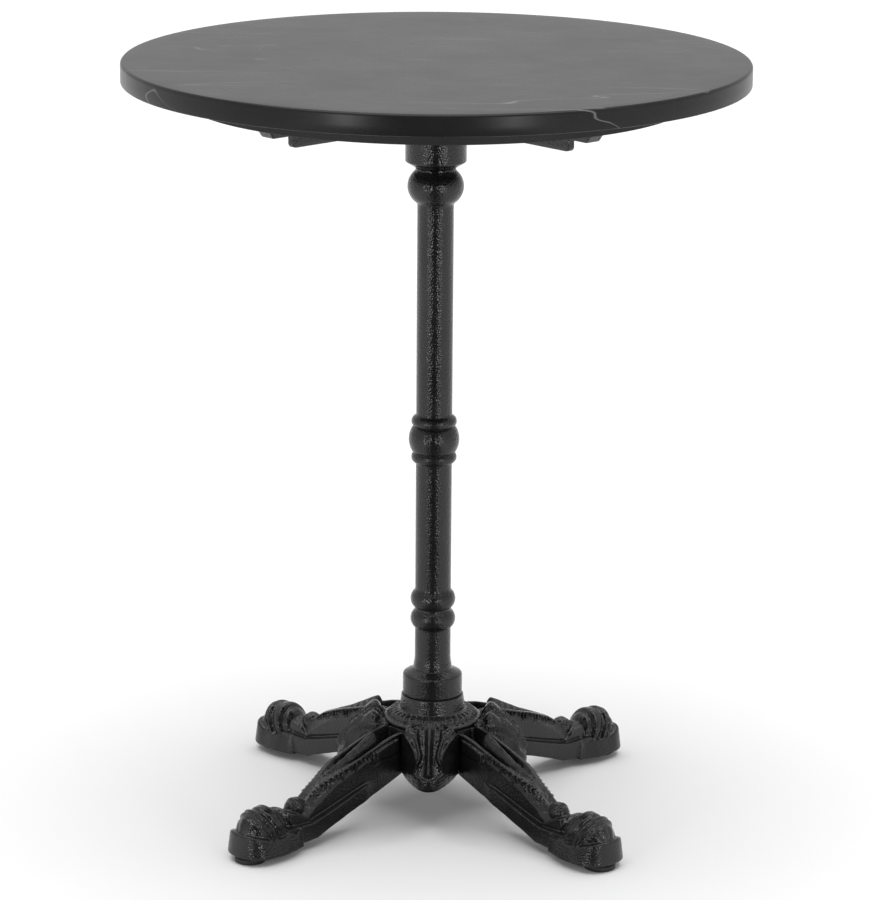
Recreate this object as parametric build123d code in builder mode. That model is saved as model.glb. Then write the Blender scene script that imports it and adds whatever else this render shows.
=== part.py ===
from build123d import *
import os
from math import cos, radians, sin

# Round bistro table: a stone top glued to a backing board, a cast-iron spider bracket screwed
# under the board, a cast column, and a base of four cast legs bolted to a cast hub. One long
# threaded rod runs through the column and clamps bracket, column and hub together. Each foot has
# a screw-in levelling glide.
# Millimetres, +Z up, origin on the floor under the centre of the top, legs on the diagonals.

os.makedirs("parts", exist_ok=True)

# ---- driving dimensions ----------------------------------------------------------------------

TABLE_HEIGHT = 750.0
LEG_COUNT = 4
FIRST_LEG_ANGLE = 45.0

# stone top and its backing board
TOP_RADIUS = 300.0
TOP_THICKNESS = 20.0
TOP_UPPER_ARRIS = 3.0
TOP_LOWER_ARRIS = 1.2
BOARD_RADIUS = 242.0
BOARD_THICKNESS = 18.0
BOARD_ARRIS = 1.0

# spider bracket
ARM_REACH = 220.0
ARM_FOOT_REACH = 211.0
ARM_TOP_WIDTH = 20.0
ARM_BOTTOM_WIDTH = 17.0
ARM_THICKNESS = 12.5
RIB_REACH = 183.5
RIB_FOOT_REACH = 178.5
RIB_ROOT_WIDTH = 8.0
RIB_FOOT_WIDTH = 6.0
RIB_DEPTH = 13.0
RIB_CORNER = 5.0
BRACKET_HUB_RADIUS = 29.5
BRACKET_HUB_BOTTOM = 646.0
BRACKET_HUB_CHAMFER = 6.0
BRACKET_HUB_TAPER = 9.5
NUT_POCKET_RADIUS = 19.0
NUT_POCKET_DEPTH = 16.0
BRACKET_WEB = 10.0

# wood screws, one at the tip of each arm
SCREW_PLACE = 198.0
SCREW_LENGTH = 25.0
SCREW_RADIUS = 2.5
SCREW_HEAD_RADIUS = 4.8
SCREW_HEAD_HEIGHT = 2.4
SCREW_POINT = 5.0

# column
SHAFT_RADIUS = 17.6
SHAFT_BORE = 11.0
NECK_RADIUS = 19.6
SPIGOT_RADIUS = 18.0
SPIGOT_TOP = 685.5
SOCKET_RADIUS = 18.2
SOCKET_TOP = 686.0
BALL_CENTRE = 627.8
BALL_RADIUS = 27.2
BALL_UPPER_EDGE = 643.1
BALL_LOWER_EDGE = 611.2
MIDDLE_CENTRE = 377.2
BARREL_RADIUS = 24.7
BARREL_END_RADIUS = 21.2
BARREL_HALF_LENGTH = 12.6
MIDDLE_BEAD_OFFSET = 18.0
MIDDLE_BEAD_RADIUS = 22.2
MIDDLE_BEAD_HALF = 5.4
LOW_BEAD_CENTRE = 204.9
LOW_BEAD_OFFSET = 10.1
LOW_BEAD_RADIUS = 22.1
FLARE_TOP = 157.0
FLARE_RADIUS = 18.7
COLLAR_TOP = 143.4
COLLAR_RIM = 138.8
COLLAR_RADIUS = 29.25
COLUMN_BOTTOM = 117.0
LOWER_SPIGOT_RADIUS = 21.0
LOWER_SPIGOT_LENGTH = 8.0

# base hub
HUB_CONE_TOP_RADIUS = 30.5
HUB_CONE_FOOT_RADIUS = 32.5
HUB_CONE_FOOT = 102.0
RING_RADIUS = 45.0
RING_FOOT = 96.0
RIM_RADIUS = 48.5
RIM_THICKNESS = 2.5
RIM_BOTTOM = 92.0
DRUM_RADIUS = 48.0
DRUM_FLAT = 46.0
DRUM_BORE = 38.0
DRUM_BOTTOM = 56.0
WEB_BOTTOM = 95.0
RECESS_RADIUS = 21.3
RECESS_DEPTH = 8.5

# legs, feet and the shields that hang between the legs
LEG_HALF_WIDTH = 14.5
FLANGE_HALF_WIDTH = 18.5
FLANGE_HEIGHT = 15.0
LEG_END = 205.0
ANKLE = 181.0
ANKLE_HEIGHT = 9.8
LEG_CHANNEL_HALF_WIDTH = 8.0
LEG_ROOT_TOP = 91.0
LEG_ROOT_BOTTOM = 52.0
LEG_JOINT_GAP = 0.3
LEG_ROOM_BOTTOM = 40.0
LEG_ROOM_LENGTH = 80.0
LEG_ROOM_FLANGE_HEIGHT = 24.0
SOLE_HEIGHT = 7.5
TOE_HALF_WIDTH = 28.0
TOE_REACH = 255.0
TOE_START = 187.0
TOE_START_HALF_WIDTH = 22.5
TOE_FULL_WIDTH_START = 209.0
TOE_HEIGHT = 18.0
TOE_DRAFT = 12.0
KNOB_CENTRE = (224.0, 27.0)
KNOB_LENGTH = 50.0
KNOB_RADIUS = 22.5
KNUCKLE_CENTRE = (177.0, 41.0)
KNUCKLE_RADIUS = 9.0
SHIELD_WALL = 5.0
SHIELD_HALF_WIDTH = 28.0
SHIELD_REACH = 96.0
SHIELD_BOTTOM = 45.0
SHIELD_SIDE_BOTTOM = 49.5
SHIELD_SHOULDER = 88.0
SHIELD_CREST = 105.0
SHIELD_CREST_HALF_WIDTH = 18.0
CAVITY_HALF_WIDTH = 21.0
CAVITY_TOP = 74.0
CAVITY_DRAFT = 20.0

# bolts that hold each leg to the hub (M8)
BOLT_HEIGHT = 74.0
BOLT_RADIUS = 4.0
BOLT_HOLE = 4.4
BOLT_END = 66.0
BOLT_HEAD_FLATS = 13.0
BOLT_HEAD_HEIGHT = 5.3
BOLT_WASHER_RADIUS = 8.0
BOLT_WASHER_THICKNESS = 1.6
BOLT_SEAT = 38.5
BOLT_SEAT_RADIUS = 9.0
BOLT_SEAT_CLEARANCE = 4.0

# threaded rod with its nuts and washers (M12)
ROD_RADIUS = 6.0
ROD_HOLE = 6.5
ROD_BOTTOM = 74.0
NUT_FLATS = 19.0
NUT_HEIGHT = 10.8
TOP_WASHER_RADIUS = 12.0
TOP_WASHER_THICKNESS = 2.5
BASE_WASHER_RADIUS = 20.0
BASE_WASHER_THICKNESS = 3.0
LOCK_WASHER_RADIUS = 10.5
LOCK_WASHER_THICKNESS = 2.5
LOCK_WASHER_GAP = 2.0

# levelling glides (M8 stud turning in a round pad)
GLIDE_PLACE = 237.0
PAD_RADIUS = 15.0
PAD_HEIGHT = 5.4
PAD_EDGE = 1.0
STUD_RADIUS = 3.95
STUD_HOLE = 4.0
STUD_TOP = 30.0
STUD_HOLE_TOP = 31.5
STUD_HEAD_RADIUS = 6.0
STUD_HEAD_BOTTOM = 1.5
STUD_HEAD_TOP = 3.5
STUD_HEX_FLATS = 13.0
STUD_HEX_BOTTOM = 5.5
STUD_HEX_TOP = 7.3
SWIVEL_GAP = 0.08
SWIVEL_END_GAP = 0.1

# heights that follow from the sizes above
slab_bottom = TABLE_HEIGHT - TOP_THICKNESS
board_bottom = slab_bottom - BOARD_THICKNESS
arm_bottom = board_bottom - ARM_THICKNESS
rib_bottom = arm_bottom - RIB_DEPTH
pocket_floor = board_bottom - NUT_POCKET_DEPTH
rod_top = board_bottom - 1.0

leg_angles = [FIRST_LEG_ANGLE + 360.0 / LEG_COUNT * i for i in range(LEG_COUNT)]
leg_names = ["back_right", "back_left", "front_left", "front_right"]


def on_circle(radius, angle):
    """A point in plan at a radius and an angle in degrees."""
    return (radius * cos(radians(angle)), radius * sin(radians(angle)))


def write(part, name):
    """Label a finished piece and write its STEP file."""
    part.label = name
    export_step(part, "parts/" + name + ".step")


# ---- stone top -------------------------------------------------------------------------------

with BuildPart() as table_top:
    with BuildSketch(Plane.XY.offset(slab_bottom)):
        Circle(TOP_RADIUS)
    extrude(amount=TOP_THICKNESS)
    fillet(table_top.edges().group_by(Axis.Z)[-1], TOP_UPPER_ARRIS)
    chamfer(table_top.edges().group_by(Axis.Z)[0], TOP_LOWER_ARRIS)
write(table_top.part, "table_top")

# ---- backing board with a pilot hole for each screw ------------------------------------------

screw_depth = arm_bottom + SCREW_LENGTH - board_bottom

with BuildPart() as backing_board:
    with BuildSketch(Plane.XY.offset(board_bottom)):
        Circle(BOARD_RADIUS)
    extrude(amount=BOARD_THICKNESS)
    chamfer(backing_board.edges().group_by(Axis.Z)[0], BOARD_ARRIS)
    with BuildSketch(Plane.XY.offset(board_bottom)):
        with PolarLocations(SCREW_PLACE, LEG_COUNT, start_angle=FIRST_LEG_ANGLE):
            Circle(SCREW_RADIUS)
    extrude(amount=screw_depth, mode=Mode.SUBTRACT)
write(backing_board.part, "backing_board")

# ---- spider bracket: one arm, then four of them round a socketed hub --------------------------

with BuildPart() as bracket_arm:
    with BuildSketch(Plane.XY.offset(board_bottom)):
        with Locations((ARM_REACH / 2, 0)):
            Rectangle(ARM_REACH, ARM_TOP_WIDTH)
    with BuildSketch(Plane.XY.offset(arm_bottom)):
        with Locations((ARM_FOOT_REACH / 2, 0)):
            Rectangle(ARM_FOOT_REACH, ARM_BOTTOM_WIDTH)
    loft()
    with BuildSketch(Plane.XY.offset(arm_bottom)):
        with Locations((RIB_REACH / 2, 0)):
            Rectangle(RIB_REACH, RIB_ROOT_WIDTH)
    with BuildSketch(Plane.XY.offset(rib_bottom)):
        with Locations((RIB_FOOT_REACH / 2, 0)):
            Rectangle(RIB_FOOT_REACH, RIB_FOOT_WIDTH)
    loft()
    rib_corner = bracket_arm.edges().filter_by(Axis.Y).group_by(Axis.Z)[0].sort_by(Axis.X)[-1]
    fillet(rib_corner, RIB_CORNER)
    with Locations(Plane(origin=(SCREW_PLACE, 0, arm_bottom), z_dir=(0, 0, -1))):
        CounterSinkHole(radius=SCREW_RADIUS, counter_sink_radius=SCREW_HEAD_RADIUS, counter_sink_angle=82)

with BuildPart() as top_bracket:
    with PolarLocations(0, LEG_COUNT, start_angle=FIRST_LEG_ANGLE):
        add(bracket_arm.part)
    with BuildSketch(Plane.XY.offset(BRACKET_HUB_BOTTOM)):
        Circle(BRACKET_HUB_RADIUS)
    extrude(amount=board_bottom - BRACKET_HUB_BOTTOM)
    hub_rim = top_bracket.edges().group_by(Axis.Z)[0]
    chamfer(hub_rim, BRACKET_HUB_CHAMFER, BRACKET_HUB_TAPER)
    with BuildSketch(Plane.XY.offset(BRACKET_HUB_BOTTOM)):
        Circle(SOCKET_RADIUS)
    extrude(amount=SOCKET_TOP - BRACKET_HUB_BOTTOM, mode=Mode.SUBTRACT)
    with BuildSketch(Plane.XY.offset(pocket_floor)):
        Circle(NUT_POCKET_RADIUS)
    extrude(amount=NUT_POCKET_DEPTH, mode=Mode.SUBTRACT)
    with BuildSketch(Plane.XY.offset(SOCKET_TOP)):
        Circle(ROD_HOLE)
    extrude(amount=BRACKET_WEB, mode=Mode.SUBTRACT)
write(top_bracket.part, "top_bracket")

# ---- four countersunk wood screws, one node ---------------------------------------------------

with BuildPart() as bracket_screw:
    with BuildSketch(Plane.XZ):
        with BuildLine():
            Polyline(
                (0, arm_bottom),
                (SCREW_HEAD_RADIUS - 0.2, arm_bottom),
                (SCREW_RADIUS, arm_bottom + SCREW_HEAD_HEIGHT),
                (SCREW_RADIUS, arm_bottom + SCREW_LENGTH - SCREW_POINT),
                (0, arm_bottom + SCREW_LENGTH),
                close=True,
            )
        make_face()
    revolve(axis=Axis.Z)

with BuildPart() as bracket_screws:
    with PolarLocations(SCREW_PLACE, LEG_COUNT, start_angle=FIRST_LEG_ANGLE):
        add(bracket_screw.part)
write(bracket_screws.part, "bracket_screws")

# ---- column: a turned outline from the lower spigot to the upper one --------------------------

with BuildPart() as column:
    with BuildSketch(Plane.XZ):
        with BuildLine():
            Polyline(
                (SHAFT_BORE, COLUMN_BOTTOM - LOWER_SPIGOT_LENGTH),
                (LOWER_SPIGOT_RADIUS, COLUMN_BOTTOM - LOWER_SPIGOT_LENGTH),
                (LOWER_SPIGOT_RADIUS, COLUMN_BOTTOM),
                (COLLAR_RADIUS, COLUMN_BOTTOM),
                (COLLAR_RADIUS, COLLAR_RIM - 0.8),
                (COLLAR_RADIUS - 0.8, COLLAR_RIM),
                (FLARE_RADIUS, COLLAR_TOP),
                (FLARE_RADIUS, COLLAR_TOP + 4),
                (SHAFT_RADIUS, FLARE_TOP),
                (SHAFT_RADIUS, LOW_BEAD_CENTRE - 2 * LOW_BEAD_OFFSET),
            )
            ThreePointArc(
                (SHAFT_RADIUS, LOW_BEAD_CENTRE - 2 * LOW_BEAD_OFFSET),
                (LOW_BEAD_RADIUS, LOW_BEAD_CENTRE - LOW_BEAD_OFFSET),
                (SHAFT_RADIUS, LOW_BEAD_CENTRE),
            )
            ThreePointArc(
                (SHAFT_RADIUS, LOW_BEAD_CENTRE),
                (LOW_BEAD_RADIUS, LOW_BEAD_CENTRE + LOW_BEAD_OFFSET),
                (SHAFT_RADIUS, LOW_BEAD_CENTRE + 2 * LOW_BEAD_OFFSET),
            )
            Line(
                (SHAFT_RADIUS, LOW_BEAD_CENTRE + 2 * LOW_BEAD_OFFSET),
                (SHAFT_RADIUS, MIDDLE_CENTRE - MIDDLE_BEAD_OFFSET - MIDDLE_BEAD_HALF),
            )
            ThreePointArc(
                (SHAFT_RADIUS, MIDDLE_CENTRE - MIDDLE_BEAD_OFFSET - MIDDLE_BEAD_HALF),
                (MIDDLE_BEAD_RADIUS, MIDDLE_CENTRE - MIDDLE_BEAD_OFFSET),
                (BARREL_END_RADIUS - 1.2, MIDDLE_CENTRE - BARREL_HALF_LENGTH - 0.4),
            )
            Line(
                (BARREL_END_RADIUS - 1.2, MIDDLE_CENTRE - BARREL_HALF_LENGTH - 0.4),
                (BARREL_END_RADIUS, MIDDLE_CENTRE - BARREL_HALF_LENGTH),
            )
            ThreePointArc(
                (BARREL_END_RADIUS, MIDDLE_CENTRE - BARREL_HALF_LENGTH),
                (BARREL_RADIUS, MIDDLE_CENTRE),
                (BARREL_END_RADIUS, MIDDLE_CENTRE + BARREL_HALF_LENGTH),
            )
            Line(
                (BARREL_END_RADIUS, MIDDLE_CENTRE + BARREL_HALF_LENGTH),
                (BARREL_END_RADIUS - 1.2, MIDDLE_CENTRE + BARREL_HALF_LENGTH + 0.4),
            )
            ThreePointArc(
                (BARREL_END_RADIUS - 1.2, MIDDLE_CENTRE + BARREL_HALF_LENGTH + 0.4),
                (MIDDLE_BEAD_RADIUS, MIDDLE_CENTRE + MIDDLE_BEAD_OFFSET),
                (SHAFT_RADIUS, MIDDLE_CENTRE + MIDDLE_BEAD_OFFSET + MIDDLE_BEAD_HALF),
            )
            Line(
                (SHAFT_RADIUS, MIDDLE_CENTRE + MIDDLE_BEAD_OFFSET + MIDDLE_BEAD_HALF),
                (SHAFT_RADIUS, BALL_LOWER_EDGE),
            )
            ThreePointArc(
                (SHAFT_RADIUS, BALL_LOWER_EDGE),
                (BALL_RADIUS, BALL_CENTRE),
                (NECK_RADIUS, BALL_UPPER_EDGE),
            )
            Polyline(
                (NECK_RADIUS, BALL_UPPER_EDGE),
                (NECK_RADIUS, BRACKET_HUB_BOTTOM),
                (SPIGOT_RADIUS, BRACKET_HUB_BOTTOM),
                (SPIGOT_RADIUS, SPIGOT_TOP),
                (SHAFT_BORE, SPIGOT_TOP),
                (SHAFT_BORE, COLUMN_BOTTOM - LOWER_SPIGOT_LENGTH),
            )
        make_face()
    revolve(axis=Axis.Z)
write(column.part, "column")

# ---- legs: one is made lying along +X, then four are turned into place -------------------------
# The side outline falls from the hub to the foot. A wider flange runs along its lower edge, and
# a channel is cored out of it from below. The foot is a drafted toe block with a round knob on it
# and a small knuckle behind the knob.

toe_middle = TOE_REACH - TOE_HALF_WIDTH

with BuildPart() as leg:
    with BuildSketch(Plane.XZ):
        with BuildLine():
            Spline((DRUM_FLAT, LEG_ROOT_TOP), (81, 87), (107, 78), (130, 71), (157, 59), (190, 42))
            Polyline((190, 42), (LEG_END, 42), (LEG_END, ANKLE_HEIGHT), (ANKLE, ANKLE_HEIGHT))
            Spline(
                (ANKLE, ANKLE_HEIGHT),
                (150, 17),
                (123, 26),
                (56, 47),
                (DRUM_FLAT, LEG_ROOT_BOTTOM),
            )
            Line((DRUM_FLAT, LEG_ROOT_BOTTOM), (DRUM_FLAT, LEG_ROOT_TOP))
        make_face()
    extrude(amount=LEG_HALF_WIDTH, both=True)
    with BuildSketch(Plane.XZ):
        with BuildLine():
            Spline((56, 47), (123, 26), (150, 17), (ANKLE, ANKLE_HEIGHT))
            Polyline(
                (ANKLE, ANKLE_HEIGHT),
                (LEG_END, ANKLE_HEIGHT),
                (LEG_END, ANKLE_HEIGHT + FLANGE_HEIGHT),
                (ANKLE, ANKLE_HEIGHT + FLANGE_HEIGHT),
            )
            Spline(
                (ANKLE, ANKLE_HEIGHT + FLANGE_HEIGHT),
                (150, 17 + FLANGE_HEIGHT),
                (123, 26 + FLANGE_HEIGHT),
                (56, 47 + FLANGE_HEIGHT),
            )
            Line((56, 47 + FLANGE_HEIGHT), (56, 47))
        make_face()
    extrude(amount=FLANGE_HALF_WIDTH, both=True)
    with BuildSketch(Plane.XY.offset(SOLE_HEIGHT)):
        with BuildLine():
            Line((TOE_START, -TOE_START_HALF_WIDTH), (TOE_FULL_WIDTH_START, -TOE_HALF_WIDTH))
            Line((TOE_FULL_WIDTH_START, -TOE_HALF_WIDTH), (toe_middle, -TOE_HALF_WIDTH))
            ThreePointArc((toe_middle, -TOE_HALF_WIDTH), (TOE_REACH, 0), (toe_middle, TOE_HALF_WIDTH))
            Line((toe_middle, TOE_HALF_WIDTH), (TOE_FULL_WIDTH_START, TOE_HALF_WIDTH))
            Line((TOE_FULL_WIDTH_START, TOE_HALF_WIDTH), (TOE_START, TOE_START_HALF_WIDTH))
            Line((TOE_START, TOE_START_HALF_WIDTH), (TOE_START, -TOE_START_HALF_WIDTH))
        make_face()
    extrude(amount=TOE_HEIGHT, taper=TOE_DRAFT)
    with BuildSketch(Plane.XZ):
        with Locations(KNOB_CENTRE):
            Ellipse(KNOB_LENGTH / 2, KNOB_RADIUS)
            Rectangle(KNOB_LENGTH, KNOB_RADIUS, align=(Align.CENTER, Align.MAX), mode=Mode.SUBTRACT)
    revolve(axis=Axis((0, 0, KNOB_CENTRE[1]), (1, 0, 0)))
    with Locations((KNUCKLE_CENTRE[0], 0, KNUCKLE_CENTRE[1])):
        Sphere(KNUCKLE_RADIUS)
    with BuildSketch(Plane.XY):
        with Locations((GLIDE_PLACE, 0)):
            Rectangle(3 * TOE_HALF_WIDTH, 3 * TOE_HALF_WIDTH)
    extrude(amount=SOLE_HEIGHT, mode=Mode.SUBTRACT)
    with BuildSketch(Plane.XZ):
        with BuildLine():
            Polyline((74, 30), (74, 76), (85, 73), (130, 63), (152, 46), (166, 24), (166, 0), (74, 30))
        make_face()
    extrude(amount=LEG_CHANNEL_HALF_WIDTH, both=True, mode=Mode.SUBTRACT)
    with BuildSketch(Plane.XY.offset(SOLE_HEIGHT)):
        with Locations((GLIDE_PLACE, 0)):
            Circle(STUD_HOLE)
    extrude(amount=STUD_HOLE_TOP - SOLE_HEIGHT, mode=Mode.SUBTRACT)
    with BuildSketch(Plane(origin=(DRUM_FLAT, 0, BOLT_HEIGHT), z_dir=(1, 0, 0))):
        Circle(BOLT_RADIUS)
    extrude(amount=BOLT_END - DRUM_FLAT, mode=Mode.SUBTRACT)

for name, angle in zip(leg_names, leg_angles):
    write(leg.part.rotate(Axis.Z, angle), "leg_" + name)

# ---- base hub: a turned drum with a flat for each leg, and a shield between each two legs -------

shield_root = DRUM_BORE + 4
cavity_bottom = SHIELD_BOTTOM - SHIELD_WALL

# seen from the side the shield falls in a bulging curve, and from above it has a round nose
with BuildPart() as shield:
    with BuildSketch(Plane.XZ):
        with BuildLine():
            Polyline((shield_root, 52), (shield_root, 91), (51, 95))
            Spline((51, 95), (57, 103), (69, 94), (81, 84), (89.5, 70), (95.5, 54), (95, SHIELD_BOTTOM))
            Polyline((95, SHIELD_BOTTOM), (60, SHIELD_BOTTOM), (shield_root, 52))
        make_face()
    extrude(amount=SHIELD_HALF_WIDTH, both=True)
    with BuildSketch(Plane.XY):
        with BuildLine():
            Spline(
                (51, -SHIELD_HALF_WIDTH),
                (61, -25),
                (77, -18),
                (SHIELD_REACH, 0),
                (77, 18),
                (61, 25),
                (51, SHIELD_HALF_WIDTH),
            )
            Polyline(
                (51, SHIELD_HALF_WIDTH),
                (shield_root, SHIELD_HALF_WIDTH),
                (shield_root, -SHIELD_HALF_WIDTH),
                (51, -SHIELD_HALF_WIDTH),
            )
        make_face()
    extrude(amount=COLUMN_BOTTOM, mode=Mode.INTERSECT)
    with BuildSketch(Plane.YZ):
        with BuildLine():
            Spline(
                (SHIELD_HALF_WIDTH, SHIELD_SIDE_BOTTOM),
                (16, 47),
                (0, SHIELD_BOTTOM),
                (-16, 47),
                (-SHIELD_HALF_WIDTH, SHIELD_SIDE_BOTTOM),
            )
            Polyline(
                (-SHIELD_HALF_WIDTH, SHIELD_SIDE_BOTTOM),
                (-SHIELD_HALF_WIDTH, SHIELD_SHOULDER),
                (-SHIELD_CREST_HALF_WIDTH, SHIELD_CREST),
                (SHIELD_CREST_HALF_WIDTH, SHIELD_CREST),
                (SHIELD_HALF_WIDTH, SHIELD_SHOULDER),
                (SHIELD_HALF_WIDTH, SHIELD_SIDE_BOTTOM),
            )
        make_face()
    extrude(amount=SHIELD_REACH, mode=Mode.INTERSECT)
    with BuildSketch(Plane.XY.offset(cavity_bottom)):
        with Locations((DRUM_RADIUS, 0)):
            Ellipse(SHIELD_REACH - SHIELD_WALL - DRUM_RADIUS, CAVITY_HALF_WIDTH)
    extrude(amount=CAVITY_TOP - cavity_bottom, taper=CAVITY_DRAFT, mode=Mode.SUBTRACT)

# the room that one leg takes beside the hub, to the joint gap
leg_room_width = 2 * (LEG_HALF_WIDTH + LEG_JOINT_GAP)
flange_room_width = 2 * (FLANGE_HALF_WIDTH + LEG_JOINT_GAP)

with BuildPart() as leg_room:
    with BuildSketch(Plane.XY.offset(LEG_ROOM_BOTTOM)):
        with Locations((DRUM_FLAT, 0)):
            Rectangle(LEG_ROOM_LENGTH, leg_room_width, align=(Align.MIN, Align.CENTER))
    extrude(amount=RIM_BOTTOM - LEG_ROOM_BOTTOM)
    with BuildSketch(Plane.XY.offset(LEG_ROOM_BOTTOM)):
        with Locations((DRUM_FLAT, 0)):
            Rectangle(LEG_ROOM_LENGTH, flange_room_width, align=(Align.MIN, Align.CENTER))
    extrude(amount=LEG_ROOM_FLANGE_HEIGHT)

with BuildPart() as base_hub:
    with BuildSketch(Plane.XZ):
        with BuildLine():
            Polyline(
                (ROD_HOLE, WEB_BOTTOM),
                (ROD_HOLE, COLUMN_BOTTOM - RECESS_DEPTH),
                (RECESS_RADIUS, COLUMN_BOTTOM - RECESS_DEPTH),
                (RECESS_RADIUS, COLUMN_BOTTOM),
                (HUB_CONE_TOP_RADIUS, COLUMN_BOTTOM),
                (HUB_CONE_FOOT_RADIUS, HUB_CONE_FOOT),
            )
            ThreePointArc((HUB_CONE_FOOT_RADIUS, HUB_CONE_FOOT), (40.5, 100.4), (RING_RADIUS, RING_FOOT))
            Polyline(
                (RING_RADIUS, RING_FOOT),
                (RIM_RADIUS, RIM_BOTTOM + RIM_THICKNESS),
                (RIM_RADIUS, RIM_BOTTOM),
                (DRUM_RADIUS, RIM_BOTTOM),
                (DRUM_RADIUS, DRUM_BOTTOM),
                (DRUM_BORE, DRUM_BOTTOM),
                (DRUM_BORE, WEB_BOTTOM),
                (ROD_HOLE, WEB_BOTTOM),
            )
        make_face()
    revolve(axis=Axis.Z)
    with PolarLocations(0, LEG_COUNT):
        add(shield.part)
    with PolarLocations(0, LEG_COUNT, start_angle=FIRST_LEG_ANGLE):
        add(leg_room.part, mode=Mode.SUBTRACT)
    for angle in leg_angles:
        outward = (cos(radians(angle)), sin(radians(angle)), 0)
        seat = on_circle(BOLT_SEAT, angle)
        with BuildSketch(Plane(origin=(seat[0], seat[1], BOLT_HEIGHT), z_dir=outward)):
            Circle(BOLT_HOLE)
        extrude(amount=DRUM_RADIUS - BOLT_SEAT, mode=Mode.SUBTRACT)
        with BuildSketch(Plane(origin=(seat[0], seat[1], BOLT_HEIGHT), z_dir=outward)):
            Circle(BOLT_SEAT_RADIUS)
        extrude(amount=-BOLT_SEAT_CLEARANCE, mode=Mode.SUBTRACT)
write(base_hub.part, "base_hub")

# ---- leg bolts and their washers, one node each -------------------------------------------------

bolt_head_plane = Plane(origin=(BOLT_SEAT - BOLT_WASHER_THICKNESS, 0, BOLT_HEIGHT), z_dir=(1, 0, 0))

with BuildPart() as leg_bolt:
    with BuildSketch(bolt_head_plane):
        Circle(BOLT_RADIUS)
    extrude(amount=BOLT_END - BOLT_SEAT)
    with BuildSketch(bolt_head_plane):
        RegularPolygon(BOLT_HEAD_FLATS / 2, 6, major_radius=False)
    extrude(amount=-BOLT_HEAD_HEIGHT)

with BuildPart() as leg_bolts:
    with PolarLocations(0, LEG_COUNT, start_angle=FIRST_LEG_ANGLE):
        add(leg_bolt.part)
write(leg_bolts.part, "leg_bolts")

with BuildPart() as leg_bolt_washer:
    with BuildSketch(bolt_head_plane):
        Circle(BOLT_WASHER_RADIUS)
        Circle(BOLT_HOLE, mode=Mode.SUBTRACT)
    extrude(amount=BOLT_WASHER_THICKNESS)

with BuildPart() as leg_bolt_washers:
    with PolarLocations(0, LEG_COUNT, start_angle=FIRST_LEG_ANGLE):
        add(leg_bolt_washer.part)
write(leg_bolt_washers.part, "leg_bolt_washers")

# ---- threaded rod, nuts and washers ------------------------------------------------------------

with BuildPart() as tie_rod:
    with BuildSketch(Plane.XY.offset(ROD_BOTTOM)):
        Circle(ROD_RADIUS)
    extrude(amount=rod_top - ROD_BOTTOM)
    chamfer(tie_rod.edges().filter_by(GeomType.CIRCLE), 1.0)
write(tie_rod.part, "tie_rod")


def washer(bottom, outer, thickness):
    """A flat ring round the rod."""
    with BuildPart() as ring:
        with BuildSketch(Plane.XY.offset(bottom)):
            Circle(outer)
            Circle(ROD_HOLE, mode=Mode.SUBTRACT)
        extrude(amount=thickness)
    return ring.part


def hex_nut(bottom):
    """A chamfered hexagon nut on the rod."""
    with BuildPart() as nut:
        with BuildSketch(Plane.XY.offset(bottom)):
            RegularPolygon(NUT_FLATS / 2, 6, major_radius=False)
        extrude(amount=NUT_HEIGHT)
        with BuildSketch(Plane.XZ):
            with BuildLine():
                Polyline(
                    (ROD_RADIUS, bottom),
                    (NUT_FLATS / 2, bottom),
                    (NUT_FLATS / 2 + 2, bottom + 1.2),
                    (NUT_FLATS / 2 + 2, bottom + NUT_HEIGHT - 1.2),
                    (NUT_FLATS / 2, bottom + NUT_HEIGHT),
                    (ROD_RADIUS, bottom + NUT_HEIGHT),
                    close=True,
                )
            make_face()
        revolve(axis=Axis.Z, mode=Mode.INTERSECT)
    return nut.part


write(washer(pocket_floor, TOP_WASHER_RADIUS, TOP_WASHER_THICKNESS), "rod_top_washer")
write(hex_nut(pocket_floor + TOP_WASHER_THICKNESS), "rod_top_nut")

base_washer_bottom = WEB_BOTTOM - BASE_WASHER_THICKNESS
lock_washer_bottom = base_washer_bottom - LOCK_WASHER_THICKNESS
write(washer(base_washer_bottom, BASE_WASHER_RADIUS, BASE_WASHER_THICKNESS), "rod_base_washer")

with BuildPart() as rod_base_lock_washer:
    with BuildSketch(Plane.XY.offset(lock_washer_bottom)):
        Circle(LOCK_WASHER_RADIUS)
        Circle(ROD_HOLE, mode=Mode.SUBTRACT)
        with Locations((LOCK_WASHER_RADIUS, 0)):
            Rectangle(2 * LOCK_WASHER_RADIUS - ROD_HOLE, LOCK_WASHER_GAP, mode=Mode.SUBTRACT)
    extrude(amount=LOCK_WASHER_THICKNESS)
write(rod_base_lock_washer.part, "rod_base_lock_washer")
write(hex_nut(lock_washer_bottom - NUT_HEIGHT), "rod_base_nut")

# ---- levelling glides: a round pad that a headed stud turns in ---------------------------------

pad_cavity_bottom = STUD_HEAD_BOTTOM - SWIVEL_END_GAP
pad_cavity_top = STUD_HEAD_TOP + SWIVEL_END_GAP

with BuildPart() as glide_pad:
    with BuildSketch(Plane.XZ):
        with BuildLine():
            Polyline(
                (0, 0),
                (PAD_RADIUS - PAD_EDGE, 0),
                (PAD_RADIUS, PAD_EDGE),
                (PAD_RADIUS, PAD_HEIGHT - PAD_EDGE),
                (PAD_RADIUS - PAD_EDGE, PAD_HEIGHT),
                (STUD_RADIUS + SWIVEL_GAP, PAD_HEIGHT),
                (STUD_RADIUS + SWIVEL_GAP, pad_cavity_top),
                (STUD_HEAD_RADIUS + SWIVEL_GAP, pad_cavity_top),
                (STUD_HEAD_RADIUS + SWIVEL_GAP, pad_cavity_bottom),
                (0, pad_cavity_bottom),
                close=True,
            )
        make_face()
    revolve(axis=Axis.Z)

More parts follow.
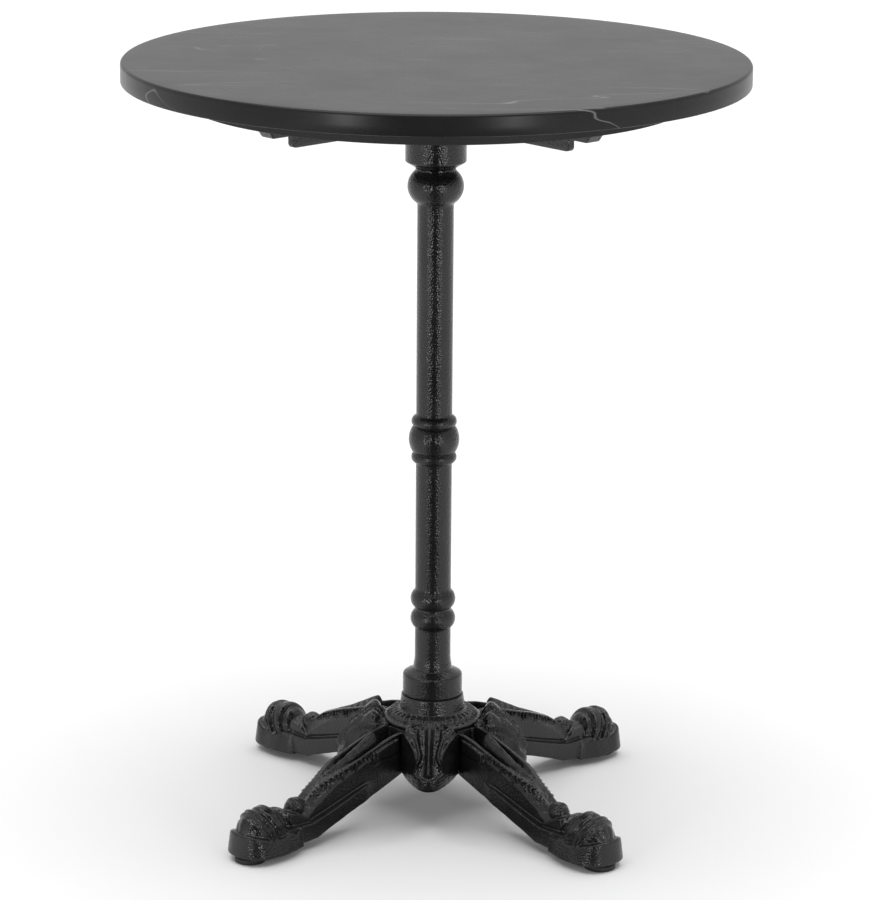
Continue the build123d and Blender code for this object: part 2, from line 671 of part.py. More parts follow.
with BuildPart() as glide_stud:
    with BuildSketch(Plane.XY.offset(STUD_HEAD_BOTTOM)):
        Circle(STUD_HEAD_RADIUS)
    extrude(amount=STUD_HEAD_TOP - STUD_HEAD_BOTTOM)
    with BuildSketch(Plane.XY.offset(STUD_HEAD_TOP)):
        Circle(STUD_RADIUS)
    extrude(amount=STUD_TOP - STUD_HEAD_TOP)
    chamfer(glide_stud.edges().group_by(Axis.Z)[-1], 1.0)
    with BuildSketch(Plane.XY.offset(STUD_HEX_BOTTOM)):
        RegularPolygon(STUD_HEX_FLATS / 2, 6, major_radius=False)
    extrude(amount=STUD_HEX_TOP - STUD_HEX_BOTTOM)

for name, angle in zip(leg_names, leg_angles):
    place = on_circle(GLIDE_PLACE, angle)
    write(glide_pad.part.moved(Location((place[0], place[1], 0))), "glide_pad_" + name)
    write(glide_stud.part.moved(Location((place[0], place[1], 0))), "glide_stud_" + name)
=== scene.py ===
from math import cos, pi, radians, sin

import bmesh
import bpy
import numpy as np
from mathutils import Matrix, Vector


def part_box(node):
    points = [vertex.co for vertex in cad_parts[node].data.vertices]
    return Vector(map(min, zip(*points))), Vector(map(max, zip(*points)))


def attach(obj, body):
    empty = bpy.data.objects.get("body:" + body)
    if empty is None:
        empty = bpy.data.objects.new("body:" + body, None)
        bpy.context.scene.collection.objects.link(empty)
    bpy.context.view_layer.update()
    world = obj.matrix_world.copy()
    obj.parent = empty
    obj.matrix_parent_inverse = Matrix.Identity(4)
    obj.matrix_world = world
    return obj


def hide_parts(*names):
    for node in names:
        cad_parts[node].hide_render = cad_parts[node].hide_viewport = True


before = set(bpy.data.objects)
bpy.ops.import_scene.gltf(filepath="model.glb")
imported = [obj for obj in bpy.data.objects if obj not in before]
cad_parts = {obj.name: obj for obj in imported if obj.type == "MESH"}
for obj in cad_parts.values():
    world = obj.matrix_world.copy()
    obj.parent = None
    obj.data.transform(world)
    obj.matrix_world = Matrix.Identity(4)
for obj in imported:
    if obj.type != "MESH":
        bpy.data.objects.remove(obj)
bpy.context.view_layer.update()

# A round bistro table: honed black marble on a cast-iron pedestal with four leaf-carved legs.
# Shapes are written in millimetres and go to Blender in metres.

MM = 0.001
LEG_ANGLES = {"back_right": 45, "back_left": 135, "front_left": 225, "front_right": 315}


# ---- shader nodes ------------------------------------------------------------------------------


class Link:
    """A node socket that arithmetic works on. Each operator adds one Math node."""

    def __init__(self, tree, socket=None):
        self.tree = tree
        self.socket = socket

    def node(self, kind, settings=None, inputs=None, out=0):
        """Any other node: its settings first, then the values or links of its sockets."""
        made = self.tree.nodes.new(kind)
        for name, value in (settings or {}).items():
            if name == "stops":
                ramp = made.color_ramp
                while len(ramp.elements) < len(value):
                    ramp.elements.new(1.0)
                for element, (place, colour) in zip(ramp.elements, value):
                    element.position = place
                    element.color = colour
            else:
                setattr(made, name, value)
        for key, value in (inputs or {}).items():
            if isinstance(value, Link):
                self.tree.links.new(value.socket, made.inputs[key])
            else:
                made.inputs[key].default_value = value
        return Link(self.tree, made.outputs[out])

    def maths(self, operation, *values, clamp=False):
        settings = {"operation": operation, "use_clamp": clamp}
        return self.node("ShaderNodeMath", settings, dict(enumerate(values)))

    def __add__(self, other):
        return self.maths("ADD", self, other)

    def __sub__(self, other):
        return self.maths("SUBTRACT", self, other)

    def __rsub__(self, other):
        return self.maths("SUBTRACT", other, self)

    def __mul__(self, other):
        return self.maths("MULTIPLY", self, other)

    __radd__ = __add__
    __rmul__ = __mul__

    def between(self, low, high):
        """0 at low, 1 at high, eased in between. low may be above high."""
        values = {"Value": self, "From Min": low, "From Max": high}
        return self.node("ShaderNodeMapRange", {"interpolation_type": "SMOOTHSTEP"}, values)


def start_material(name):
    """A new node material, its shader and its object coordinates."""
    material = bpy.data.materials.new(name)
    material.use_nodes = True
    tree = material.node_tree
    shader = tree.nodes["Principled BSDF"]
    place = Link(tree).node("ShaderNodeTexCoord", out=3)
    return material, shader, place


def noise(place, scale, detail=2.0, rough=0.5, distortion=0.0):
    """Noise with a scale in lumps per metre."""
    values = {"Vector": place, "Scale": scale, "Detail": detail}
    values.update({"Roughness": rough, "Distortion": distortion})
    return place.node("ShaderNodeTexNoise", None, values)


def cells(place, scale):
    """Distance from the middle of cells, with a scale in cells per metre."""
    return place.node("ShaderNodeTexVoronoi", {"feature": "F1"}, {"Vector": place, "Scale": scale})


def mix(factor, first, second):
    """A colour between two colours."""
    values = {0: factor, 6: first, 7: second}
    return factor.node("ShaderNodeMix", {"data_type": "RGBA"}, values, 2)


def bump(height, strength, distance):
    """A bumped normal from a height, with a depth in metres."""
    values = {"Height": height, "Strength": strength, "Distance": distance}
    return height.node("ShaderNodeBump", None, values)


def join(shader, socket, value):
    """Feeds a shader socket with a link or a plain value."""
    if isinstance(value, Link):
        value.tree.links.new(value.socket, shader.inputs[socket])
    else:
        shader.inputs[socket].default_value = value


def stretched(place, scale, turn=(0, 0, 0)):
    """Coordinates turned and scaled on each axis."""
    return place.node("ShaderNodeMapping", None, {"Vector": place, "Scale": scale, "Rotation": turn})


def grey(level, warm=0.0):
    """A grey with a little warmth."""
    return (level * (1 + warm), level, level * (1 - warm), 1.0)


def vein_line(place, scale, turn, squeeze, width, wander):
    """Thin wandering lines where a stretched noise crosses its middle value."""
    laid = stretched(place, squeeze, turn)
    field = noise(laid, scale, 3.0, 0.5, wander)
    distance = (field - 0.5).maths("ABSOLUTE", field - 0.5)
    return 1.0 - distance.between(0.0, width)


def marble():
    """Honed black marble: near black with soft clouds and a few hairline white veins."""
    material, shader, place = start_material("black_marble")
    cloud = noise(place, 5.0, 6.0, 0.6)
    grain = noise(place, 900.0, 2.0)
    body = mix(cloud.between(0.3, 0.75), grey(0.010), grey(0.021))
    body = mix(grain.between(0.45, 0.9) * 0.2, body, grey(0.05))
    long_turn = (0, 0, radians(12))
    long_vein = vein_line(place, 2.4, long_turn, (0.45, 3.0, 3.0), 0.0035, 0.5)
    short_turn = (0, 0, radians(-38))
    short_vein = vein_line(place, 5.0, short_turn, (0.8, 2.0, 2.0), 0.0028, 0.9)
    hair_turn = (0, 0, radians(70))
    hair_vein = vein_line(place, 9.0, hair_turn, (0.9, 1.8, 1.8), 0.0022, 1.0)
    patches = noise(place, 4.3, 2.0, 0.5)
    others = noise(place, 6.1, 2.0, 0.5)
    veins = long_vein * patches.between(0.48, 0.64)
    veins = veins.maths("MAXIMUM", veins, short_vein * others.between(0.56, 0.70))
    veins = veins.maths("MAXIMUM", veins, hair_vein * patches.between(0.44, 0.32) * 0.6)
    join(shader, "Base Color", mix(veins * 0.5, body, grey(0.34, 0.02)))
    polish = noise(place, 14.0, 4.0, 0.6)
    join(shader, "Roughness", 0.23 + polish * 0.10 + veins * 0.08)
    join(shader, "Specular IOR Level", 0.21)
    waviness = noise(place, 55.0, 2.0)
    join(shader, "Normal", bump(grain * 0.4 + waviness, 0.12, 0.0002))
    return material


def black_iron():
    """Cast iron under glossy black paint with a fine pebbled, hammered skin."""
    material, shader, place = start_material("hammered_black_paint")
    shade = noise(place, 30.0, 4.0, 0.6)
    join(shader, "Base Color", mix(shade.between(0.35, 0.7), grey(0.006), grey(0.014, 0.02)))
    pebble = cells(place, 520.0)
    coarse = noise(place, 260.0, 3.0, 0.6)
    fine = noise(place, 1100.0, 2.0, 0.6)
    skin = (1.0 - pebble) * 0.8 + coarse * 0.5 + fine * 0.15
    join(shader, "Normal", bump(skin, 0.36, 0.0011))
    join(shader, "Roughness", 0.09 + fine * 0.06 + shade * 0.05)
    return material


def black_board():
    """Backing board with a rolled coat of matt black paint."""
    material, shader, place = start_material("black_board_paint")
    roller = noise(place, 420.0, 3.0, 0.6)
    patch = noise(place, 16.0, 4.0)
    join(shader, "Base Color", mix(patch.between(0.3, 0.7), grey(0.008), grey(0.013)))
    join(shader, "Roughness", 0.52 + roller * 0.16)
    join(shader, "Normal", bump(roller, 0.25, 0.0004))
    return material


def zinc_steel():
    """Zinc-plated steel with faint turning marks and duller patches."""
    material, shader, place = start_material("zinc_steel")
    patch = noise(place, 120.0, 4.0, 0.6)
    turning = noise(stretched(place, (1, 1, 30)), 300.0, 2.0)
    join(shader, "Base Color", mix(patch.between(0.3, 0.7), grey(0.42, -0.02), grey(0.58)))
    join(shader, "Metallic", 1.0)
    join(shader, "Roughness", 0.26 + patch * 0.16)
    join(shader, "Normal", bump(turning, 0.15, 0.0002))
    return material


def pad_plastic():
    """Moulded black plastic of the levelling pads, scuffed low down."""
    material, shader, place = start_material("black_moulded_plastic")
    mould = noise(place, 900.0, 2.0)
    scuff = noise(stretched(place, (1, 1, 5)), 160.0, 4.0, 0.7)
    join(shader, "Base Color", mix(scuff.between(0.55, 0.8), grey(0.012), grey(0.03)))
    join(shader, "Roughness", 0.38 + scuff * 0.2)
    join(shader, "Normal", bump(mould, 0.3, 0.0002))
    return material


# ---- mesh tools --------------------------------------------------------------------------------


def finish_mesh(name, mesh, sharp=None):
    """A smooth-shaded object with outward faces."""
    work = bmesh.new()
    work.from_mesh(mesh)
    bmesh.ops.recalc_face_normals(work, faces=work.faces)
    work.to_mesh(mesh)
    work.free()
    mesh.shade_smooth()
    if sharp:
        mesh.set_sharp_from_angle(angle=radians(sharp))
    piece = bpy.data.objects.new(name, mesh)
    bpy.context.scene.collection.objects.link(piece)
    return piece


def rings_to_mesh(name, rings, joined=False):
    """A closed mesh over rings of points in mm: (rows, points in a row, 3). The rows either
    join up end to start or are closed off by a face at each end."""
    rows, count = rings.shape[:2]
    index = np.arange(rows * count).reshape(rows, count)
    lower = index if joined else index[:-1]
    upper = np.roll(index, -1, 0) if joined else index[1:]
    quads = np.stack([lower, np.roll(lower, -1, 1), np.roll(upper, -1, 1), upper], -1).reshape(-1, 4)
    faces = quads.tolist()
    if not joined:
        faces += [index[0].tolist(), index[-1].tolist()]
    mesh = bpy.data.meshes.new(name)
    mesh.from_pydata((rings.reshape(-1, 3) * MM).tolist(), [], faces)
    return mesh


def turned(name, outline, segments, closed=False, relief=None):
    """A shape turned about the table's axis from an outline of radius and height. relief moves
    radius and height by the angle round the axis."""
    angle = np.linspace(0, 2 * pi, segments, endpoint=False)
    radius = np.repeat(outline[:, :1], segments, 1)
    height = np.repeat(outline[:, 1:], segments, 1)
    if relief:
        radius, height = relief(radius, height, angle[None, :])
    points = np.stack([radius * np.cos(angle), radius * np.sin(angle), height], -1)
    return rings_to_mesh(name, points, closed)


def arc(start, middle, end, count=16):
    """Points on the arc through three points, without the last one."""
    (ax, ay), (bx, by), (cx, cy) = start, middle, end
    d = 2 * (ax * (by - cy) + bx * (cy - ay) + cx * (ay - by))
    a2, b2, c2 = ax * ax + ay * ay, bx * bx + by * by, cx * cx + cy * cy
    ux = (a2 * (by - cy) + b2 * (cy - ay) + c2 * (ay - by)) / d
    uy = (a2 * (cx - bx) + b2 * (ax - cx) + c2 * (bx - ax)) / d
    first = np.arctan2(ay - uy, ax - ux)
    through = (np.arctan2(by - uy, bx - ux) - first) % (2 * pi)
    last = (np.arctan2(cy - uy, cx - ux) - first) % (2 * pi)
    if through > last:
        last -= 2 * pi
    size = np.hypot(ax - ux, ay - uy)
    at = first + last * np.arange(count) / count
    return [(ux + size * np.cos(a), uy + size * np.sin(a)) for a in at]


def resample(points, step):
    """A polyline cut into even steps, with its corners kept."""
    points = np.array(points, float)
    out = [points[:1]]
    for a, b in zip(points[:-1], points[1:]):
        parts = max(1, int(np.ceil(np.hypot(*(b - a)) / step)))
        out.append(a + (b - a) * (np.arange(1, parts + 1) / parts)[:, None])
    return np.vstack(out)


def softened(points, rounds):
    """Rounds the corners of an outline a little, as casting and paint do. The ends stay."""
    points = points.copy()
    for _ in range(rounds):
        points[1:-1] = (points[:-2] + 2 * points[1:-1] + points[2:]) / 4
    return points


def fuse(name, meshes, voxel, kept=1.0):
    """One skin over several closed meshes that overlap, as a casting has. kept is the share of
    its faces that stay after thinning."""
    work = bmesh.new()
    for mesh in meshes:
        work.from_mesh(mesh)
    bmesh.ops.recalc_face_normals(work, faces=work.faces)
    whole = bpy.data.meshes.new(name)
    work.to_mesh(whole)
    work.free()
    raw = bpy.data.objects.new(name, whole)
    bpy.context.scene.collection.objects.link(raw)
    skin = raw.modifiers.new("skin", "REMESH")
    skin.mode = "VOXEL"
    skin.voxel_size = voxel * MM
    skin.use_smooth_shade = True
    if kept < 1:
        thinned = raw.modifiers.new("thinned", "DECIMATE")
        thinned.ratio = kept
    graph = bpy.context.evaluated_depsgraph_get()
    mesh = bpy.data.meshes.new_from_object(raw.evaluated_get(graph))
    bpy.data.objects.remove(raw)
    return mesh


def points_of(mesh):
    """A mesh's points in mm."""
    flat = np.empty(len(mesh.vertices) * 3)
    mesh.vertices.foreach_get("co", flat)
    return flat.reshape(-1, 3) / MM


def set_points(mesh, points):
    mesh.vertices.foreach_set("co", (points * MM).ravel())
    mesh.update()


def ease(value, low, high):
    """0 below low, 1 above high, eased in between."""
    t = np.clip((value - low) / (high - low), 0, 1)
    return t * t * (3 - 2 * t)


def hump(value, centre, half):
    """A smooth rise to 1 at centre."""
    return np.exp(-(((value - centre) / half) ** 2))


def along(table):
    """Turns pairs of place and value into a smooth curve."""
    places, values = np.array(table, float).T
    fine = np.linspace(places[0], places[-1], 600)
    width = 9
    padded = np.pad(np.interp(fine, places, values), width, mode="edge")
    kernel = np.hanning(2 * width + 1)
    smooth = np.convolve(padded, kernel / kernel.sum(), mode="valid")
    return lambda place: np.interp(place, fine, smooth)


# ---- stone top and backing board ---------------------------------------------------------------

TOP_RADIUS, TOP_HEIGHT, TOP_UNDERSIDE = 300.0, 750.0, 730.0
BOARD_RADIUS, BOARD_UNDERSIDE = 242.0, 712.0
UPPER_ARRIS, LOWER_ARRIS = 3.0, 1.2
CENTRE_HOLE = 0.5

top_outline = [(CENTRE_HOLE, TOP_UNDERSIDE), (TOP_RADIUS - 1.4, TOP_UNDERSIDE)]
top_outline += arc(
    (TOP_RADIUS - LOWER_ARRIS, TOP_UNDERSIDE),
    (TOP_RADIUS - 0.35, TOP_UNDERSIDE + 0.35),
    (TOP_RADIUS, TOP_UNDERSIDE + LOWER_ARRIS),
    6,
)
top_outline += arc(
    (TOP_RADIUS, TOP_HEIGHT - UPPER_ARRIS),
    (TOP_RADIUS - 0.88, TOP_HEIGHT - 0.88),
    (TOP_RADIUS - UPPER_ARRIS, TOP_HEIGHT),
    10,
)
top_outline += [(TOP_RADIUS - UPPER_ARRIS, TOP_HEIGHT), (CENTRE_HOLE, TOP_HEIGHT)]
table_top = finish_mesh("marble_top", turned("marble_top", resample(top_outline, 12.0), 360), 40)

board_outline = [(CENTRE_HOLE, BOARD_UNDERSIDE), (BOARD_RADIUS - 0.8, BOARD_UNDERSIDE)]
board_outline += arc(
    (BOARD_RADIUS - 0.8, BOARD_UNDERSIDE),
    (BOARD_RADIUS - 0.2, BOARD_UNDERSIDE + 0.2),
    (BOARD_RADIUS, BOARD_UNDERSIDE + 1.0),
    5,
)
board_outline += [(BOARD_RADIUS, BOARD_UNDERSIDE + 1.0), (BOARD_RADIUS, TOP_UNDERSIDE)]
board_outline += [(CENTRE_HOLE, TOP_UNDERSIDE)]
board = finish_mesh("black_board", turned("black_board", resample(board_outline, 15.0), 288), 40)

# ---- column ------------------------------------------------------------------------------------

SHAFT, BORE = 17.6, 11.0
LOW_BEADS, BEAD_RADIUS = (194.8, 215.0), 22.1
COLUMN_FOOT, COLUMN_HEAD = 109.3, 685.3
outer = [(20.8, COLUMN_FOOT), (20.8, 117.0), (29.0, 117.0), (29.25, 117.6), (29.25, 137.6)]
outer += [(28.2, 138.8), (18.9, 143.2), (18.7, 147.2)]
outer += arc((18.6, 148.0), (17.9, 152.0), (SHAFT, 157.0), 8)
for centre in LOW_BEADS:
    outer += [(SHAFT, centre - 9.6)]
    outer += arc((SHAFT + 0.2, centre - 9.0), (BEAD_RADIUS, centre), (SHAFT + 0.2, centre + 9.0), 18)
outer += [(SHAFT, 225.2), (SHAFT, 353.0)]
outer += arc((18.4, 353.6), (22.2, 359.2), (20.0, 363.9), 12)
outer += [(19.6, 364.2), (21.0, 364.8)]
outer += arc((21.4, 365.2), (24.7, 377.2), (21.4, 389.2), 20)
outer += [(21.0, 389.6), (19.6, 390.2)]
outer += arc((20.0, 390.5), (22.2, 395.2), (18.4, 400.8), 12)
outer += [(SHAFT, 401.4), (SHAFT, 609.8)]
outer += arc((18.6, 611.6), (27.2, 627.8), (19.8, 642.8), 30)
outer += [(19.5, 643.4), (19.5, 646.0), (18.0, 646.4), (18.0, COLUMN_HEAD), (BORE, COLUMN_HEAD)]
outer = softened(resample(outer, 1.02), 2)
bore = resample([(BORE, COLUMN_HEAD), (BORE, COLUMN_FOOT), (20.8, COLUMN_FOOT)], 12.0)[1:-1]
column = finish_mesh("iron_column", turned("iron_column", np.vstack([outer, bore]), 128, True), 50)

# ---- top bracket -------------------------------------------------------------------------------

BRACKET_BOTTOM, BRACKET_TOP, BRACKET_VOXEL = 646.0, 711.95, 1.1


def tapered_bar(name, ends, widths, heights):
    """A bar along +X from the axis: (end, width) at its top and at its bottom."""
    rings = []
    for end, width, height in zip(ends, widths, heights):
        half = width / 2
        rings.append([(x, y, height) for x, y in ((0, -half), (end, -half), (end, half), (0, half))])
    return rings_to_mesh(name, np.array(rings, float))


def turned_copy(mesh, angle):
    """A copy of a mesh turned about the table's axis."""
    copy = mesh.copy()
    copy.transform(Matrix.Rotation(radians(angle), 4, "Z"))
    return copy


arm_meshes = []
for angle in LEG_ANGLES.values():
    flange = tapered_bar("flange", (220, 211), (20, 17), (712, 699.5))
    rib = tapered_bar("rib", (183.5, 183.5, 182, 178.5), (8, 8, 7, 5.6), (700.5, 690, 687.5, 686.5))
    arm_meshes += [turned_copy(flange, angle), turned_copy(rib, angle)]
socket_outline = [(18.2, 712), (18.2, 646), (20.0, 646), (29.5, 652), (29.5, 712)]
socket_outline = resample(socket_outline + [(18.2, 712)], 1.5)[:-1]
arm_meshes.append(turned("bracket_hub", socket_outline, 96, True))
inner_core = resample([(6.5, 686), (19, 686), (19, 696), (6.5, 696), (6.5, 686)], 1.5)[:-1]
arm_meshes.append(turned("bracket_web", inner_core, 96, True))
bracket_mesh = fuse("iron_bracket", arm_meshes, BRACKET_VOXEL)
spots = points_of(bracket_mesh)
spots[:, 2] = np.clip(spots[:, 2], BRACKET_BOTTOM, BRACKET_TOP)
set_points(bracket_mesh, spots)
bracket = finish_mesh("iron_bracket", bracket_mesh)

# ---- legs --------------------------------------------------------------------------------------
# One leg is made lying along +X: s is the distance from the table's axis and lat the distance
# to the side. Its section changes with s: carved ridges with a leaf spine between them on top,
# leaf lobes hanging down each side, a plain web, and a wider flange along the bottom edge.

LEG_START, LEG_STOP, LEG_STEP, LEG_VOXEL = 46.0, 206.5, 0.7, 0.78
SOLE, TOE_TIP = 7.5, 255.0
RIDGE_PLACE = 13

ridge_height = along([
    (46, 90.3), (54, 91.2), (62, 90.4), (68, 89.2), (75, 87.5), (85.5, 84), (95.5, 80.8), (107, 76.8),
    (122, 72.4), (134, 68), (146, 63), (156, 58.8), (164, 53.7), (172, 47.5), (180, 42), (206, 38),
])
under_height = along([
    (46, 52), (56, 47), (86, 36), (123, 26), (150, 17), (167, 10.6), (181, 9.8), (206, 9.8),
])
spine_height = along([
    (46, 66), (68, 68), (73, 80), (77, 92), (80, 94.4), (89, 90.2), (100, 84.4), (110, 79.4),
    (118, 75.2), (127, 71), (134, 68.4), (146, 63.2), (156, 59), (164, 53.8), (172, 47.5),
    (180, 42), (206, 38),
])
ridge_place = along([
    (46, RIDGE_PLACE), (108, RIDGE_PLACE), (122, 12), (134, 9.2), (146, 4.6), (154, 2.6), (206, 2.6),
])
gully_depth = along([
    (46, 8), (52, 19), (78, 17), (90, 12), (104, 8), (115, 5.5), (128, 3.2), (140, 1.2), (150, 0),
    (206, 0),
])
flange_top = along([
    (46, 60), (60, 58), (80, 54.5), (99, 48.5), (125, 41), (152, 33), (173, 27.5), (196, 28),
    (206, 28),
])
flange_half = along([(46, 14.2), (85, 14.4), (100, 16.4), (125, 18), (160, 19), (206, 20)])
web_half = along([(46, 14.2), (84, 14.0), (98, 13.2), (206, 13.0)])
panel_foot = along([
    (46, 69), (56, 70.6), (61, 71.9), (67, 69.4), (74, 69.0), (81, 69.5), (86, 66.7), (94, 67),
])
PANEL_END = 94.0
# place along the leg and length of each stroke of the carved leaves
LEAF_STROKES = (
    (92.9, 11), (97.4, 8), (102.2, 6), (108.6, 7), (113.5, 11), (118.2, 9), (124.4, 6), (130.3, 10.5),
    (135.0, 8), (140.6, 6.5), (145.8, 9.5), (150.6, 7.5), (155.4, 6.5), (159.4, 8), (163.8, 6),
)
RIB_PITCH = 9.4
# the channel cored out of the leg from below
CORE_HALF, CORE_WALL = 7.2, 15.0


def side_half(s, z):
    """Half the leg's width at a height on its side."""
    top, place = ridge_height(s), ridge_place(s)
    drop = top - z
    web = web_half(s)
    slope = 4.0 + 0.95 * (RIDGE_PLACE - place)
    climb = np.sqrt(np.clip(drop / slope, 0, 1))
    crest_half = np.minimum(place + 1.1, web)
    half = crest_half + (web - crest_half) * climb
    lip = hump(drop, 0.8, 1.5) * ease(s, 47, 54) * (1 - ease(s, 146, 160))
    half = half + (1.6 + 0.03 * (place - RIDGE_PLACE)) * lip
    # the smooth raised panel next to the hub, between two dark grooves
    foot = top - panel_foot(np.minimum(s, PANEL_END))
    panel = ease(s, 56, 60) * (1 - ease(s, 86.5, 89.5))
    half = half + 1.9 * panel * ease(drop, 4.0, 6.5) * (1 - ease(drop, foot - 1.6, foot + 0.4))
    half = half - 0.9 * hump(drop, 4.0, 1.1) * ease(s, 54, 58) * (1 - ease(s, 88, 96))
    half = half - 1.0 * hump(drop, foot + 1.3, 0.9) * ease(s, 54, 58) * (1 - ease(s, 92, 100))
    # leaf tips that hang from the ridge
    strokes = np.zeros_like(half)
    for place, length in LEAF_STROKES:
        fall = (1 - ease(drop, length - 2.5, length)) * ease(drop, 0.6, 2.2)
        lean = 0.05 * drop
        blade = 2.5 * hump(s, place - lean, 1.2) - 1.5 * hump(s, place + 2.4 - lean, 1.1)
        strokes = strokes + blade * fall
    scoop = (1 - ease(drop, 7.5, 11.5)) * ease(drop, 1.6, 3.0)
    half = half + (strokes - 1.3 * scoop) * ease(s, 88, 92) * (1 - ease(s, 164, 170))
    edge = flange_top(s)
    stand = ease(edge - z, -0.5, 0.6)
    half = half + stand * (flange_half(s) - half) * ease(s, 84, 104)
    half = half - 1.3 * hump(z, edge + 1.4, 1.2) * ease(s, 94, 112)
    round_foot = 1.0 * ease(under_height(s) + 1.4 - z, 0, 2.4) ** 2
    return half - round_foot


def top_height(s, lat):
    """The leg's upper surface: two ridges with a spine between them, which meet near the foot."""
    ridge, spine, place = ridge_height(s), spine_height(s), ridge_place(s)
    across = np.abs(lat)
    gully = np.minimum(ridge, spine + 6) - gully_depth(s)
    ribs = np.cos(2 * pi * (s + 0.8 * across - LEAF_STROKES[0][0]) / RIB_PITCH)
    gully = gully + 0.7 * ribs * ease(s, 90, 98) * (1 - ease(s, 140, 152))
    bank = ease(across, place - 4.4, place - 1.2)
    height = gully + (ridge - gully) * bank
    crest = spine - 0.32 * across ** 2 + 0.5 * ribs * ease(across, 0.8, 3.0) * ease(s, 84, 92)
    height = np.maximum(height, crest)
    height = ridge + (height - ridge) * ease(s, 46.5, 50)
    return height - 0.5 * ease(across, place - 0.4, place + 1.2) ** 2


def foot_height(s, lat):
    """The leg's lower surface, with the channel cored out of it."""
    low = under_height(s)
    core = 1 - ease(np.abs(lat), CORE_HALF, CORE_HALF + 1.4)
    core = core * ease(s, 72, 80) * (1 - ease(s, 156, 166))
    roof = ridge_height(s) - CORE_WALL
    return low + (roof - low) * core


def leg_body():
    """The leg's long carved part as one ring of points for each step along it."""
    stations = np.arange(LEG_START, LEG_STOP, LEG_STEP)
    up = np.linspace(0, 1, 72)
    over = np.linspace(1, -1, 62)[1:-1]
    below = np.linspace(-1, 1, 34)[1:-1]
    rings = []
    for s in stations:
        z = under_height(s) + up * (ridge_height(s) - under_height(s))
        half = side_half(s, z)
        lat_top = over * half[-1]
        lat_low = below * half[0]
        right = np.stack([half, z], -1)
        top = np.stack([lat_top, top_height(s, lat_top)], -1)
        left = np.stack([-half[::-1], z[::-1]], -1)
        low = np.stack([lat_low, foot_height(s, lat_low)], -1)
        ring = np.vstack([right, top, left, low])
        rings.append(np.insert(ring, 0, s, axis=1))
    return rings_to_mesh("leg_body", np.array(rings))


def toe_plan():
    """The outline of the sole: straight back edge, slightly swelling sides, round tip."""
    bend = np.linspace(-pi / 2, pi / 2, 81)
    power = 2 / 2.3
    tip_s = 227 + 28 * np.abs(np.cos(bend)) ** power
    tip_lat = 28 * np.sign(np.sin(bend)) * np.abs(np.sin(bend)) ** power
    side = [(187.0, 0.0), (187.0, -21.5), (188.5, -22.8), (209.0, -28.0), (218.0, -28.4)]
    other = [(s, -lat) for s, lat in side[::-1]]
    tip = list(zip(tip_s, tip_lat))
    return resample(side + tip + other[:-1] + [(187.0, 0.0)], 1.5)[:-1]


def toe_block():
    """The drafted block under the foot, with a narrow ledge round its top."""
    plan = toe_plan()
    step = np.roll(plan, -1, 0) - np.roll(plan, 1, 0)
    length = np.hypot(step[:, 0], step[:, 1])[:, None]
    inward = np.stack([-step[:, 1], step[:, 0]], -1) / length
    s = plan[:, 0]
    crest = np.interp(s, [187, 200, 215, 232, 245, 253], [28, 25, 22.5, 25, 28, 30.3])
    draft = 0.34 - 0.23 * ease(s, 226, 252) - 0.22 * (1 - ease(s, 187, 196))
    rings = []
    for part in np.linspace(0, 1, 26):
        z = SOLE + part * (crest - SOLE)
        inset = draft * (z - SOLE) + 0.9 * (1 - ease(z, SOLE, 8.6)) + 0.9 * ease(part, 0.93, 1.0)
        rings.append(np.column_stack([plan + inward * inset[:, None], z]))
    top = rings[-1]
    for shrink, rise in ((0.9, 0.5), (0.75, 0.9), (0.5, 1.5), (0.1, 2.0)):
        ring = top.copy()
        ring[:, 0] = 222 + (top[:, 0] - 222) * shrink
        ring[:, 1] = top[:, 1] * shrink
        ring[:, 2] = top[:, 2] + rise + (26 - top[:, 2]) * (1 - shrink)
        rings.append(ring)
    return rings_to_mesh("toe_block", np.array(rings))


KNOB, KNOB_SIZES = (223.2, 0, 27.0), (25.6, 21.8, 23.9)
KNUCKLE, KNUCKLE_SIZES = (180.6, 0, 40.2), (10.6, 10.4, 10.4)
NECK, NECK_SIZES = (198.0, 0, 32.0), (6.5, 13.5, 10.6)
NECK_WEDGE, NECK_WEDGE_HALF = [(172, 29.5), (190, 39.0), (197, 41.0), (200, 34), (196, 29.5)], 15.0


def ball(centre, sizes, relief=None, rows=90, columns=120):
    """An ellipsoid lying along s, with a relief that pushes its points outward."""
    lengthwise = np.linspace(0.02, pi - 0.02, rows)[:, None]
    round_it = np.linspace(0, 2 * pi, columns, endpoint=False)[None, :]
    way = np.stack([
        -np.cos(lengthwise) + 0 * round_it,
        np.sin(lengthwise) * np.cos(round_it),
        np.sin(lengthwise) * np.sin(round_it),
    ], -1)
    points = np.array(centre) + way * np.array(sizes)
    if relief:
        points = points + way * relief(points)[..., None]
    return rings_to_mesh("ball", points)


def knob_relief(points):
    """Two leaning rings round the knob, a roll behind them and fine lines on its front."""
    s, lat, z = points[..., 0], points[..., 1], points[..., 2]
    lean = s - 0.5 * (z - 31)
    rings = 1.5 * hump(lean, 224.3, 1.5) + 1.7 * hump(lean, 229.6, 1.5)
    valley = -2.2 * hump(lean, 219.6, 2.4)
    valley = valley - 1.2 * hump(lean, 226.9, 1.0) - 1.3 * hump(lean, 233.4, 1.7)
    roll = 1.0 * hump(s - 0.3 * (z - 31), 212.8, 2.6) - 1.6 * hump(s - 0.3 * (z - 31), 207.6, 1.8)
    fan = 0.35 * np.cos(11 * np.arctan2(z - 20, lat)) * ease(lean, 234, 240)
    return rings + valley + roll + fan


